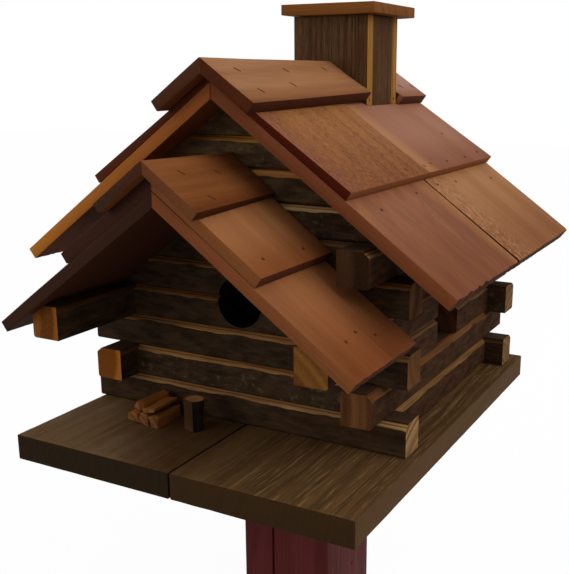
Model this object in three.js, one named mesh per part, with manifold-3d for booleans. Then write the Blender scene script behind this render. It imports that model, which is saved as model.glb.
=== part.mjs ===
// Log cabin birdhouse on a square post.
// Millimetres, +Z up. The origin is the centre of the post's bottom face.
// The entrance, the porch and the gable look towards -Y, and the window is in the right wall, towards +X.
// Inside the cabin group, x = 0 is the middle of the cabin, y = 0 is the outer face of the front wall,
// and z = 0 is the top of the floor.

import * as THREE from "three";
import { mergeVertices } from "three/addons/utils/BufferGeometryUtils.js";
import Module from "manifold-3d";

const wasm = await Module();
wasm.setup();

// Fit between pieces
const JOINT_GAP = 0.3;
const CUT_OVERRUN = 2;

// Post
const POST_SIDE = 89;
const POST_LENGTH = 195;
const POST_EDGE_RADIUS = 3;
const POST_BEHIND_FRONT_WALL = 108.7;

// Cabin and its logs
const CABIN_WIDTH = 259.8;
const CABIN_LENGTH = 275.8;
const LOG_THICKNESS = 25.4;
const LOG_COURSE_HEIGHT = 27;
const WALL_COURSES = 6;
const LOG_TOP_CHAMFER_HEIGHT = 4;
const LOG_TOP_CHAMFER_DEPTH = 5;
const LOG_BOTTOM_CHAMFER = 1.5;

// Log ends that stand out past the corners
const CROSS_LOG_REACH = 18.5;
const SILL_LOG_REACH = 22;
const PORCH_PURLIN_REACH = 91.8;
const EAVE_LOG_REACH = 30.5;
const SIDE_LOG_BACK_REACH = 24.6;

// Courses that carry something or that the window parts, counted from 1 at the floor
const SILL_COURSE_INDEX = 2;
const PURLIN_COURSE_INDEX = 4;
const EAVE_COURSE_INDEX = 6;
const WINDOW_COURSE_INDICES = [3, 4];

// Entrance and window
const ENTRANCE_DIAMETER = 41.3;
const ENTRANCE_RIGHT_OF_MIDDLE = 2.4;
const ENTRANCE_BELOW_PURLIN_TOP = 4;
const WINDOW_WIDTH = 50;
const WINDOW_BEHIND_FRONT_WALL = 111;

// Floor
const PORCH_DEPTH = 103;
const FLOOR_BACK_MARGIN = 18.2;
const FLOOR_LEFT_MARGIN = 16.6;
const FLOOR_RIGHT_MARGIN = 26.4;
const FLOOR_THICKNESS = 21.5;
const FLOOR_SEAM = 1;
const FLOOR_EDGE_RADIUS = 1.2;

// Main roof: three courses of boards, the ridge cap on top. The middle course is tapered boards,
// thin at the ridge and thickest at the lower edge. A reach is measured down the underside's slope.
const ROOF_PITCH_DEGREES = 35.92;
const EAVE_AIR_GAP = 7.4;
const MAIN_EAVE_OVERHANG = 58.6;
const MAIN_FRONT_OVERHANG = 28.5;
const MAIN_BACK_OVERHANG = 14.9;
const MAIN_FRONT_BOARD_LENGTH = 148.5;
const MAIN_BASE_THICKNESS = 10;
const MAIN_MIDDLE_REACH = 129;
const MAIN_MIDDLE_THICKNESS = 7.4;
const MAIN_MIDDLE_FRONT_THIN_EDGE = 4;
const MAIN_MIDDLE_BACK_THIN_EDGE = 1.8;
const MAIN_CAP_REACH = 37.4;
const MAIN_CAP_THICKNESS = 9.2;
const MAIN_CAP_FRONT_LIP = 12.5;

// Porch roof: three courses of even boards, on the bevelled purlins
const PURLIN_BEVEL_DROP = 8.8;
const PORCH_EAVE_OVERHANG = 19.4;
const PORCH_FRONT_OVERHANG = 9.3;
const PORCH_BASE_THICKNESS = 9.3;
const PORCH_MIDDLE_REACH = 93.3;
const PORCH_MIDDLE_THICKNESS = 8.9;
const PORCH_CAP_REACH = 35;
const PORCH_CAP_THICKNESS = 7.7;
const PORCH_CAP_FRONT_LIP = 9.4;

// Gable ends: each course is this share of the rise from the wall's top to the roof boards,
// and the uppermost log is as high as the last two courses
const GABLE_COURSE_SHARE = 0.243;
const GABLE_LOGS = 3;

// Chimney
const CHIMNEY_WIDTH = 74.6;
const CHIMNEY_DEPTH = 65.6;
const CHIMNEY_BOARD = 11.5;
const CHIMNEY_ABOVE_UNDERSIDE = 78.8;
const CHIMNEY_BACK_SETBACK = 63.2;
const CHIMNEY_CAP_SIDE = 92.9;
const CHIMNEY_CAP_THICKNESS = 10;
const CHIMNEY_CAP_FRONT_LIP = 7.6;

// Firewood and chopping block on the porch
const STICK_LENGTH = 33;
const STICK_RADIUS = 6;
const STICK_BITE = 0.8;
const STICKS_BEFORE_WALL = 8;
const STICKS_LEFT_OF_MIDDLE = 69;
const BLOCK_DIAMETER = 17.5;
const BLOCK_TOP_DIAMETER = 16.5;
const BLOCK_HEIGHT = 26;
const BLOCK_LEFT_OF_MIDDLE = 26.5;
const BLOCK_BEFORE_WALL = 26;

// Worked out from the driving sizes
const HALF_WIDTH = CABIN_WIDTH / 2;
const PITCH = THREE.MathUtils.degToRad(ROOF_PITCH_DEGREES);
const RISE = Math.tan(PITCH);
const WALL_TOP = WALL_COURSES * LOG_COURSE_HEIGHT;
const PURLIN_TOP = PURLIN_COURSE_INDEX * LOG_COURSE_HEIGHT;
const FLOOR_WIDTH = FLOOR_LEFT_MARGIN + CABIN_WIDTH + FLOOR_RIGHT_MARGIN;
const FLOOR_MIDDLE = (FLOOR_RIGHT_MARGIN - FLOOR_LEFT_MARGIN) / 2;
const FLOOR_LENGTH = PORCH_DEPTH + CABIN_LENGTH + FLOOR_BACK_MARGIN;
const MAIN_UNDERSIDE = WALL_TOP + EAVE_AIR_GAP + HALF_WIDTH * RISE;
const PORCH_UNDERSIDE = PURLIN_TOP - PURLIN_BEVEL_DROP + HALF_WIDTH * RISE;
const MAIN_BACK = CABIN_LENGTH + MAIN_BACK_OVERHANG;
const CHIMNEY_BACK = MAIN_BACK - CHIMNEY_BACK_SETBACK;
const CHIMNEY_FRONT = CHIMNEY_BACK - CHIMNEY_DEPTH;

// Finishes
const finish = (color, roughness) => new THREE.MeshStandardMaterial({
  color,
  roughness,
  metalness: 0,
  flatShading: true,
});
const weatheredLog = () => finish(0x4f3a26, 0.9);
const cedarRoof = () => finish(0x8a5335, 0.75);
const weatheredFloor = () => finish(0x4a3522, 0.85);
const greyBoard = () => finish(0x55402a, 0.9);
const cedarCap = () => finish(0x6b4326, 0.8);
const redPaint = () => finish(0x5a1216, 0.6);
const splitWood = () => finish(0x8f5a30, 0.85);
const barkedWood = () => finish(0x463222, 0.95);

// Solids are joined and cut as closed meshes that share their vertices.
function solidOf(geometry) {
  const bare = geometry.clone();
  bare.deleteAttribute("normal");
  bare.deleteAttribute("uv");
  const merged = mergeVertices(bare);
  return new wasm.Manifold(new wasm.Mesh({
    numProp: 3,
    vertProperties: new Float32Array(merged.attributes.position.array),
    triVerts: new Uint32Array(merged.index.array),
  }));
}

function geometryOf(solid) {
  const mesh = solid.getMesh();
  const geometry = new THREE.BufferGeometry();
  geometry.setAttribute("position", new THREE.BufferAttribute(mesh.vertProperties, mesh.numProp));
  geometry.setIndex(new THREE.BufferAttribute(mesh.triVerts, 1));
  geometry.computeVertexNormals();
  return geometry;
}

function outline(points) {
  return new THREE.Shape(points.map(([across, up]) => new THREE.Vector2(across, up)));
}

function extruded(shape, depth, curveSegments = 6) {
  return new THREE.ExtrudeGeometry(shape, { depth, bevelEnabled: false, curveSegments });
}

// An outline drawn in X and Z, extruded from one Y to another.
function alongY(shape, fromY, toY, curveSegments) {
  const geometry = extruded(shape, toY - fromY, curveSegments);
  geometry.rotateX(Math.PI / 2);
  geometry.translate(0, toY, 0);
  return geometry;
}

function roundedRectangle(width, height, radius) {
  const shape = new THREE.Shape();
  const right = width / 2 - radius;
  const top = height / 2 - radius;
  shape.absarc(right, top, radius, 0, Math.PI / 2);
  shape.absarc(-right, top, radius, Math.PI / 2, Math.PI);
  shape.absarc(-right, -top, radius, Math.PI, Math.PI * 3 / 2);
  shape.absarc(right, -top, radius, Math.PI * 3 / 2, Math.PI * 2);
  return shape;
}

function piece(name, geometry, material) {
  const mesh = new THREE.Mesh(geometry, material);
  mesh.name = name;
  return mesh;
}

// Post: a planed square timber with eased edges, and the floor rests on its top.
function makePost() {
  const shape = roundedRectangle(POST_SIDE, POST_SIDE, POST_EDGE_RADIUS);
  return piece("post", extruded(shape, POST_LENGTH - JOINT_GAP, 4), redPaint());
}

// Floor: two wide boards side by side, running from the porch's front edge to the back.
function makeFloor() {
  const width = (FLOOR_WIDTH - FLOOR_SEAM) / 2;
  const offset = (width + FLOOR_SEAM) / 2;
  const boards = new THREE.Group();
  for (const [name, side] of [["floor_left", -1], ["floor_right", 1]]) {
    const shape = roundedRectangle(width, FLOOR_THICKNESS, FLOOR_EDGE_RADIUS);
    const geometry = alongY(shape, -PORCH_DEPTH, FLOOR_LENGTH - PORCH_DEPTH, 3);
    geometry.translate(FLOOR_MIDDLE + side * offset, 0, -FLOOR_THICKNESS / 2);
    boards.add(piece(name, geometry, weatheredFloor()));
  }
  return boards;
}

// The section of one log, or of two that are cut from one piece: x is measured inwards from the outer face.
// The outer face keeps its weathered skin between a deep chamfer above and a small one below.
function logSection(bottom, heights) {
  const points = [[LOG_THICKNESS, bottom], [LOG_BOTTOM_CHAMFER, bottom]];
  let level = bottom;
  heights.forEach((height, index) => {
    const top = level + height;
    points.push([0, level + LOG_BOTTOM_CHAMFER]);
    points.push([0, top - LOG_TOP_CHAMFER_HEIGHT]);
    points.push([LOG_TOP_CHAMFER_DEPTH, top]);
    if (index + 1 < heights.length) {
      points.push([LOG_BOTTOM_CHAMFER, top]);
    }
    level = top;
  });
  points.push([LOG_THICKNESS, level]);
  return outline(points.reverse());
}

// A log lies along X with its outer face at y = 0 and its inner face behind it.
function logGeometry(from, to, bottom, heights) {
  const geometry = extruded(logSection(bottom, heights), to - from);
  geometry.rotateZ(Math.PI / 2);
  geometry.rotateY(Math.PI / 2);
  geometry.translate(from, 0, 0);
  return geometry;
}

const courseBottom = (course) => (course - 1) * LOG_COURSE_HEIGHT + JOINT_GAP;
const LOG_HEIGHT = LOG_COURSE_HEIGHT - JOINT_GAP;

// In odd courses the front and back logs run past the corners, and in even courses the side logs do.
const crossLogHalf = (course) => (course % 2 === 1
  ? HALF_WIDTH + CROSS_LOG_REACH
  : HALF_WIDTH - LOG_THICKNESS - JOINT_GAP);

// The entrance is one round hole, bored through the front wall where two logs meet.
function entranceBore() {
  const radius = ENTRANCE_DIAMETER / 2;
  const shape = new THREE.Shape();
  shape.absarc(0, 0, radius, 0, Math.PI * 2);
  const geometry = alongY(shape, -CUT_OVERRUN, LOG_THICKNESS + CUT_OVERRUN, 24);
  geometry.translate(ENTRANCE_RIGHT_OF_MIDDLE, 0, PURLIN_TOP - ENTRANCE_BELOW_PURLIN_TOP);
  return solidOf(geometry);
}

// The space under the roof boards, as wide as the cabin, which trims the gable logs to the roof's slope.
function gableSpace() {
  const peak = MAIN_UNDERSIDE - JOINT_GAP;
  const shoulder = peak - HALF_WIDTH * RISE;
  const shape = outline([
    [-HALF_WIDTH, WALL_TOP - CUT_OVERRUN],
    [HALF_WIDTH, WALL_TOP - CUT_OVERRUN],
    [HALF_WIDTH, shoulder],
    [0, peak],
    [-HALF_WIDTH, shoulder],
  ]);
  return solidOf(alongY(shape, -CUT_OVERRUN, LOG_THICKNESS + CUT_OVERRUN));
}

// Front and back walls: six full courses, then gable logs whose ends are sawn to the slope of the roof.
// The uppermost gable log has a groove across its face, as if it were two courses.
function makeCrossWall(wallName, bore) {
  const wall = new THREE.Group();
  for (let course = 1; course <= WALL_COURSES; course += 1) {
    const half = crossLogHalf(course);
    let log = solidOf(logGeometry(-half, half, courseBottom(course), [LOG_HEIGHT]));
    if (bore) {
      log = log.subtract(bore);
    }
    wall.add(piece(`${wallName}_log_${course}`, geometryOf(log), weatheredLog()));
  }
  const space = gableSpace();
  const pitch = (MAIN_UNDERSIDE - WALL_TOP) * GABLE_COURSE_SHARE;
  for (let step = 0; step < GABLE_LOGS; step += 1) {
    const bottom = WALL_TOP + step * pitch + JOINT_GAP;
    const isTop = step + 1 === GABLE_LOGS;
    const heights = isTop ? [pitch, MAIN_UNDERSIDE - bottom - pitch] : [pitch - JOINT_GAP];
    const log = solidOf(logGeometry(-HALF_WIDTH, HALF_WIDTH, bottom, heights)).intersect(space);
    wall.add(piece(`${wallName}_log_${WALL_COURSES + step + 1}`, geometryOf(log), weatheredLog()));
  }
  return wall;
}

// Side walls: x runs along the wall from its middle. Even courses reach past both corners.
// The fourth course reaches right out over the porch, as the purlin that carries the porch roof.
const sideLogReach = {
  [SILL_COURSE_INDEX]: SILL_LOG_REACH,
  [PURLIN_COURSE_INDEX]: PORCH_PURLIN_REACH,
  [EAVE_COURSE_INDEX]: EAVE_LOG_REACH,
};

function sideLogSpan(course) {
  const half = CABIN_LENGTH / 2;
  if (course % 2 === 1) {
    const inside = half - LOG_THICKNESS - JOINT_GAP;
    return { front: inside, back: inside };
  }
  return { front: half + sideLogReach[course], back: half + SIDE_LOG_BACK_REACH };
}

// The purlin's outer top edge is planed to the slope of the porch roof, from its end to the front wall.
function purlinBevel(frontSign) {
  const back = PURLIN_BEVEL_DROP / RISE;
  const drop = PURLIN_BEVEL_DROP + JOINT_GAP;
  const shape = outline([
    [-CUT_OVERRUN, PURLIN_TOP - drop - CUT_OVERRUN * RISE],
    [back + CUT_OVERRUN, PURLIN_TOP - drop + (back + CUT_OVERRUN) * RISE],
    [-CUT_OVERRUN, PURLIN_TOP - drop + (back + CUT_OVERRUN) * RISE],
  ]);
  const inner = CABIN_LENGTH / 2;
  const outer = inner + PORCH_PURLIN_REACH + CUT_OVERRUN;
  const geometry = extruded(shape, outer - inner);
  geometry.rotateZ(Math.PI / 2);
  geometry.rotateY(Math.PI / 2);
  geometry.translate(frontSign > 0 ? inner : -outer, 0, 0);
  return solidOf(geometry);
}

// frontSign is +1 where x runs towards the front of the cabin, and -1 where it runs to the back.
function makeSideLog(name, course, frontSign, front, back) {
  const ends = [frontSign * front, -frontSign * back].sort((a, b) => a - b);
  let log = solidOf(logGeometry(ends[0], ends[1], courseBottom(course), [LOG_HEIGHT]));
  if (course === PURLIN_COURSE_INDEX) {
    log = log.subtract(purlinBevel(frontSign));
  }
  return piece(name, geometryOf(log), weatheredLog());
}

function makeSideWall(wallName, frontSign, windowCourses) {
  const wall = new THREE.Group();
  const frontJamb = CABIN_LENGTH / 2 - WINDOW_BEHIND_FRONT_WALL;
  const backJamb = WINDOW_WIDTH - frontJamb;
  for (let course = 1; course <= WALL_COURSES; course += 1) {
    const { front, back } = sideLogSpan(course);
    const name = `${wallName}_log_${course}`;
    if (windowCourses.includes(course)) {
      wall.add(makeSideLog(`${name}_front`, course, frontSign, front, -frontJamb));
      wall.add(makeSideLog(`${name}_back`, course, frontSign, -backJamb, back));
    } else {
      wall.add(makeSideLog(name, course, frontSign, front, back));
    }
  }
  return wall;
}

// The four walls turn about the middle of the cabin, each with its outer face outwards.
function makeWalls() {
  const walls = new THREE.Group();
  const front = makeCrossWall("front", entranceBore());
  const back = makeCrossWall("back", null);
  back.position.set(0, CABIN_LENGTH, 0);
  back.rotation.z = Math.PI;
  const right = makeSideWall("right", -1, WINDOW_COURSE_INDICES);
  right.position.set(HALF_WIDTH, CABIN_LENGTH / 2, 0);
  right.rotation.z = Math.PI / 2;
  const left = makeSideWall("left", 1, []);
  left.position.set(-HALF_WIDTH, CABIN_LENGTH / 2, 0);
  left.rotation.z = -Math.PI / 2;
  walls.add(front, back, right, left);
  return walls;
}

// A course of roof boards. Its lower and upper faces are heights square to the slope,
// counted from the underside of the roof, and each has one at the ridge and one at the lower edge.
function course(reach, under, thickness, thinEdge = thickness) {
  return { reach, under, top: [under[0] + thinEdge, under[1] + thickness] };
}

// A point on the right-hand slope, and the point where a height meets the ridge's middle plane.
const slopePoint = (underside, reach, height) => [
  reach * Math.cos(PITCH) + height * Math.sin(PITCH),
  underside - reach * Math.sin(PITCH) + height * Math.cos(PITCH),
];
const ridgePoint = (underside, height) => [0, underside + height / Math.cos(PITCH)];

// The heights on which the next course lies: at the ridge, and at that course's own lower edge.
function seatOn({ reach, top }, nextReach) {
  const start = -top[0] * RISE;
  const share = (nextReach - start) / (reach - start);
  return [top[0] + JOINT_GAP, top[0] + share * (top[1] - top[0]) + JOINT_GAP];
}

// The base course reaches from the ridge to the eave, which stands out past the cabin's side.
function baseCourse(overhang, thickness) {
  return course((HALF_WIDTH + overhang) / Math.cos(PITCH), [0, 0], thickness);
}

const MAIN_BASE = baseCourse(MAIN_EAVE_OVERHANG, MAIN_BASE_THICKNESS);
const mainMiddle = (thinEdge) => course(
  MAIN_MIDDLE_REACH,
  seatOn(MAIN_BASE, MAIN_MIDDLE_REACH),
  MAIN_MIDDLE_THICKNESS,
  thinEdge,
);
const mainCap = (middle) => course(MAIN_CAP_REACH, seatOn(middle, MAIN_CAP_REACH), MAIN_CAP_THICKNESS);
const MAIN_MIDDLE_FRONT = mainMiddle(MAIN_MIDDLE_FRONT_THIN_EDGE);
const MAIN_MIDDLE_BACK = mainMiddle(MAIN_MIDDLE_BACK_THIN_EDGE);

// A roof board: its upper edge is sawn plumb at the ridge, where it meets its partner,
// and its lower edge is square.
function roofBoard(name, side, underside, { reach, under, top }, fromY, toY) {
  const edge = JOINT_GAP / 2;
  const atRidge = (height) => {
    const [, z] = ridgePoint(underside, height);
    return [side * edge, z - edge * RISE];
  };
  const atEave = (height) => {
    const [x, z] = slopePoint(underside, reach, height);
    return [side * x, z];
  };
  const shape = outline([atRidge(top[0]), atRidge(under[0]), atEave(under[1]), atEave(top[1])]);
  return piece(name, alongY(shape, fromY, toY), cedarRoof());
}

const SIDES = [["left", -1], ["right", 1]];

// Main roof: two boards to a course and slope, side by side, and the chimney parts the ridge cap.
function makeMainRoof() {
  const roof = new THREE.Group();
  const front = -MAIN_FRONT_OVERHANG;
  const seam = front + MAIN_FRONT_BOARD_LENGTH;
  const half = JOINT_GAP / 2;
  const runs = [
    {
      runName: "front",
      middle: MAIN_MIDDLE_FRONT,
      boardSpan: [front, seam - half],
      capSpan: [front - MAIN_CAP_FRONT_LIP, CHIMNEY_FRONT - JOINT_GAP],
    },
    {
      runName: "back",
      middle: MAIN_MIDDLE_BACK,
      boardSpan: [seam + half, MAIN_BACK],
      capSpan: [CHIMNEY_BACK + JOINT_GAP, MAIN_BACK],
    },
  ];
  for (const { runName, middle, boardSpan, capSpan } of runs) {
    const courses = [
      ["base", MAIN_BASE, boardSpan],
      ["middle", middle, boardSpan],
      ["cap", mainCap(middle), capSpan],
    ];
    for (const [courseName, board, [fromY, toY]] of courses) {
      for (const [sideName, side] of SIDES) {
        const name = `roof_${courseName}_${sideName}_${runName}`;
        roof.add(roofBoard(name, side, MAIN_UNDERSIDE, board, fromY, toY));
      }
    }
  }
  return roof;
}

// Porch roof: one board to a course and slope, from the front edge back to the cabin's front wall.
function makePorchRoof() {
  const roof = new THREE.Group();
  const front = -PORCH_PURLIN_REACH - PORCH_FRONT_OVERHANG;
  const base = baseCourse(PORCH_EAVE_OVERHANG, PORCH_BASE_THICKNESS);
  const middle = course(PORCH_MIDDLE_REACH, seatOn(base, PORCH_MIDDLE_REACH), PORCH_MIDDLE_THICKNESS);
  const cap = course(PORCH_CAP_REACH, seatOn(middle, PORCH_CAP_REACH), PORCH_CAP_THICKNESS);
  const courses = [
    ["base", base, front],
    ["middle", middle, front],
    ["cap", cap, front - PORCH_CAP_FRONT_LIP],
  ];
  for (const [courseName, board, start] of courses) {
    for (const [sideName, side] of SIDES) {
      const name = `porch_${courseName}_${sideName}`;
      roof.add(roofBoard(name, side, PORCH_UNDERSIDE, board, start, -JOINT_GAP));
    }
  }
  return roof;
}

// The chimney's foot follows the middle course's upper face.
function chimneyFootAt(x) {
  const { reach, top } = MAIN_MIDDLE_BACK;
  const [, ridgeZ] = ridgePoint(MAIN_UNDERSIDE, top[0]);
  const [eaveX, eaveZ] = slopePoint(MAIN_UNDERSIDE, reach, top[1]);
  return ridgeZ + (eaveZ - ridgeZ) * x / eaveX + JOINT_GAP;
}

// Chimney: a box of four upright boards, scribed over the ridge and standing on the middle course.
function makeChimney() {
  const chimney = new THREE.Group();
  const half = CHIMNEY_WIDTH / 2;
  const capBottom = MAIN_UNDERSIDE + CHIMNEY_ABOVE_UNDERSIDE - CHIMNEY_CAP_THICKNESS;
  const top = capBottom - JOINT_GAP;
  const broad = outline([
    [-half, chimneyFootAt(half)],
    [0, chimneyFootAt(0)],
    [half, chimneyFootAt(half)],
    [half, top],
    [-half, top],
  ]);
  const fronts = [
    ["chimney_front", CHIMNEY_FRONT],
    ["chimney_back", CHIMNEY_BACK - CHIMNEY_BOARD],
  ];
  for (const [name, y] of fronts) {
    chimney.add(piece(name, alongY(broad, y, y + CHIMNEY_BOARD), greyBoard()));
  }
  const inner = half - CHIMNEY_BOARD;
  const from = CHIMNEY_FRONT + CHIMNEY_BOARD + JOINT_GAP;
  const to = CHIMNEY_BACK - CHIMNEY_BOARD - JOINT_GAP;
  for (const [sideName, side] of SIDES) {
    const narrow = outline([
      [side * inner, chimneyFootAt(inner)],
      [side * half, chimneyFootAt(half)],
      [side * half, top],
      [side * inner, top],
    ]);
    chimney.add(piece(`chimney_${sideName}`, alongY(narrow, from, to), greyBoard()));
  }
  const capFront = CHIMNEY_FRONT - CHIMNEY_CAP_FRONT_LIP;
  const cap = new THREE.BoxGeometry(CHIMNEY_CAP_SIDE, CHIMNEY_CAP_SIDE, CHIMNEY_CAP_THICKNESS);
  cap.translate(0, capFront + CHIMNEY_CAP_SIDE / 2, capBottom + CHIMNEY_CAP_THICKNESS / 2);
  chimney.add(piece("chimney_cap", cap, cedarCap()));
  return chimney;
}

// Firewood: three split sticks on the floor and two on top of them, glued into one stack.
// A stick's section is an uneven wedge, drawn in shares of its radius.
const STICK_SECTION_SHARES = [[-0.95, -0.9], [0.98, -0.9], [0.9, 0.35], [0.25, 0.98], [-0.75, 0.6]];

function makeFirewood() {
  const pitchX = 2 * STICK_RADIUS - STICK_BITE;
  const bottom = JOINT_GAP + STICK_RADIUS * -STICK_SECTION_SHARES[0][1];
  const rows = [
    { count: 3, height: bottom, turn: 1 },
    { count: 2, height: bottom + pitchX * Math.sin(Math.PI / 3), turn: -1 },
  ];
  let stack = null;
  for (const { count, height, turn } of rows) {
    for (let index = 0; index < count; index += 1) {
      const points = STICK_SECTION_SHARES.map(([x, z]) => [turn * x * STICK_RADIUS, z * STICK_RADIUS]);
      const geometry = alongY(outline(points), -STICK_LENGTH, 0);
      const across = (index - (count - 1) / 2) * pitchX;
      geometry.translate(across - STICKS_LEFT_OF_MIDDLE, -STICKS_BEFORE_WALL, height);
      const stick = solidOf(geometry);
      stack = stack ? stack.add(stick) : stick;
    }
  }
  return piece("firewood", geometryOf(stack), splitWood());
}

// Chopping block: a short length of branch, sawn square at both ends and a little wider at the foot.
function makeChoppingBlock() {
  const block = new THREE.CylinderGeometry(BLOCK_TOP_DIAMETER / 2, BLOCK_DIAMETER / 2, BLOCK_HEIGHT, 20);
  block.rotateX(Math.PI / 2);
  block.translate(-BLOCK_LEFT_OF_MIDDLE, -BLOCK_BEFORE_WALL, BLOCK_HEIGHT / 2 + JOINT_GAP);
  return piece("chopping_block", block, barkedWood());
}

const birdhouse = new THREE.Group();
const cabin = new THREE.Group();
cabin.add(makeFloor(), makeWalls(), makeMainRoof(), makePorchRoof(), makeChimney());
cabin.add(makeFirewood(), makeChoppingBlock());
cabin.position.set(-FLOOR_MIDDLE, -POST_BEHIND_FRONT_WALL, POST_LENGTH + FLOOR_THICKNESS);
birdhouse.add(makePost(), cabin);

export default birdhouse;
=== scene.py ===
from math import atan2, cos, pi, radians, sin

import bmesh
import bpy
from mathutils import Matrix, Vector, noise
from mathutils.bvhtree import BVHTree


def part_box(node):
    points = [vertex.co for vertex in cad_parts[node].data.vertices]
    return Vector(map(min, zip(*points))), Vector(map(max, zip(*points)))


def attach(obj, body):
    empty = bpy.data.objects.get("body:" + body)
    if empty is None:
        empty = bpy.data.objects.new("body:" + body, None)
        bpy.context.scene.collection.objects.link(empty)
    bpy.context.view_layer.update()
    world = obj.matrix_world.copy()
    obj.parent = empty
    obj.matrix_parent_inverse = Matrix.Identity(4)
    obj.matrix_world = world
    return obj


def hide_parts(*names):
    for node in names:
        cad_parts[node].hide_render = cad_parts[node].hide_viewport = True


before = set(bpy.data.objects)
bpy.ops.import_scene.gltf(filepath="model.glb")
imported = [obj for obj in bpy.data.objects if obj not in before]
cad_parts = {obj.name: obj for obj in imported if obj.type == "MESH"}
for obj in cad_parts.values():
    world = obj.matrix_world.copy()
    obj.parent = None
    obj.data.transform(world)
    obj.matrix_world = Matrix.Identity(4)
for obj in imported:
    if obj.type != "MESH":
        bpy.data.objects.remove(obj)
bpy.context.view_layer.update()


# ----------------------------------------
# Camera: stands in front of the porch, to the right of it and a little above the ridge of the porch roof,
# and looks down by 14.5 degrees. The small shift keeps the photograph's crop.
def put_in_scene(name, data):
    made = bpy.data.objects.new(name, data)
    bpy.context.scene.collection.objects.link(made)
    return made


LOOKS_DOWN = 14.5
TURNED = 28.18
camera = put_in_scene("camera", bpy.data.cameras.new("camera"))
bpy.context.scene.camera = camera
camera.location = (0.3721, -0.6794, 0.4964)
camera.rotation_euler = (radians(90 - LOOKS_DOWN), 0, radians(TURNED))
camera.data.sensor_fit = "HORIZONTAL"
camera.data.sensor_width = 36
camera.data.lens = 55.57
camera.data.shift_x = -0.0536
camera.data.shift_y = 0.0281
camera.data.clip_start = 0.01


# ----------------------------------------
# Light: an overcast sky that is brighter overhead than at the horizon, a wide soft lamp from the upper
# right and a weaker one from the left in front. To the camera, and in a gloss, the sky is plain white.
def linear(hex_code):
    parts = [int(hex_code[i:i + 2], 16) / 255 for i in (1, 3, 5)]
    return [c / 12.92 if c <= 0.04045 else ((c + 0.055) / 1.055) ** 2.4 for c in parts] + [1]


# Adds a node. An input goes by its name, or by its number as in _0, and is given a value, a hex colour,
# an output, or a node, which stands for the first of its outputs in use.
def add(tree, kind, settings=None, **inputs):
    made = tree.nodes.new("ShaderNode" + kind)
    for key, value in (settings or {}).items():
        setattr(made, key, value)
    for key, value in inputs.items():
        socket = made.inputs[int(key[1:])] if key[1:].isdigit() else made.inputs[key.replace("_", " ")]
        if isinstance(value, bpy.types.Node):
            value = next(output for output in value.outputs if output.enabled)
        if isinstance(value, bpy.types.NodeSocket):
            tree.links.new(value, socket)
        else:
            socket.default_value = linear(value) if isinstance(value, str) else value
    return made


LARGER = {"operation": "MAXIMUM"}


# 1 for what is looked at, straight, in a gloss or through glass, and 0 for what only gives light
def seen(tree):
    ray = add(tree, "LightPath").outputs
    in_gloss = add(tree, "Math", LARGER, _0=ray["Is Glossy Ray"], _1=ray["Is Transmission Ray"])
    return add(tree, "Math", LARGER, _0=ray["Is Camera Ray"], _1=in_gloss)


bpy.context.scene.view_settings.view_transform = "Standard"

world = bpy.data.worlds.new("overcast_sky")
bpy.context.scene.world = world
world.use_nodes = True
sky = world.node_tree
sky.nodes.clear()
height = add(sky, "SeparateXYZ", _0=add(sky, "TexCoord").outputs["Generated"])
dome = add(sky, "MapRange", _0=height.outputs["Z"], _1=-0.1, _2=0.9, _3=0.2, _4=0.82)
lit_sky = add(sky, "Background", Color="#fbfaff", Strength=dome)
plain_sky = add(sky, "Background", Color="#ffffff", Strength=1)
add(sky, "OutputWorld", Surface=add(sky, "MixShader", _0=seen(sky), _1=lit_sky, _2=plain_sky))

# Places and widths in metres, and watts
LAMPS = (("key_lamp", (2.2, 0.15, 2.2), 2.4, 36), ("fill_lamp", (-1.3, -2, 0.9), 1.6, 14))
CABIN_MIDDLE = Vector((0, 0, 0.3))
for name, place, size, energy in LAMPS:
    lamp = put_in_scene(name, bpy.data.lights.new(name, "AREA"))
    lamp.data.shape = "DISK"
    lamp.data.size = size
    lamp.data.energy = energy
    lamp.location = place
    lamp.rotation_euler = (CABIN_MIDDLE - lamp.location).to_track_quat("-Z", "Y").to_euler()

# ----------------------------------------
# Floor under the object: one plain pale sheet at the foot of the post. It is seen nearly white, straight
# and in a gloss, and keeps the soft shadow of the birdhouse.
MM = 0.001
BLEND = {"data_type": "RGBA"}
TIMES = {"operation": "MULTIPLY"}
GLOW_SHARE = 0.965


def new_material(name):
    material = bpy.data.materials.new(name)
    material.use_nodes = True
    material.node_tree.nodes.clear()
    return material, material.node_tree


# Backdrop paper: matt, so it gives the eye an even white with no gloss and one faint shadow
paper, tree = new_material("pale_backdrop_paper")
glow = add(tree, "Emission", Color="#ffffff", Strength=1)
matt = add(tree, "BsdfDiffuse", Color=add(tree, "Mix", BLEND, _0=seen(tree), _6="#a9a6a2", _7="#ffffff"))
share = add(tree, "Math", TIMES, _0=seen(tree), _1=GLOW_SHARE)
add(tree, "OutputMaterial", Surface=add(tree, "MixShader", _0=share, _1=matt, _2=glow))



def finished(shape, name, *materials):
    mesh = bpy.data.meshes.new(name)
    shape.to_mesh(mesh)
    shape.free()
    for material in materials:
        mesh.materials.append(material)
    return put_in_scene(name, mesh)


shape = bmesh.new()
bmesh.ops.create_grid(shape, x_segments=1, y_segments=1, size=6)
ground = finished(shape, "ground", paper)
ground.location.z = -0.5 * MM

# ----------------------------------------
# Post: a planed square softwood timber, painted dark red. The paint lies in thin coats over the grain,
# a drying check runs down its front, and one nail is driven through its right side.
SMOOTH_BELOW = radians(32)
DARKEN = {"data_type": "RGBA", "blend_type": "MULTIPLY"}
PLUS = {"operation": "ADD"}
MINUS = {"operation": "SUBTRACT"}
TIMES_PLUS = {"operation": "MULTIPLY_ADD"}
SOFT = {"interpolation_type": "SMOOTHSTEP"}


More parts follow.
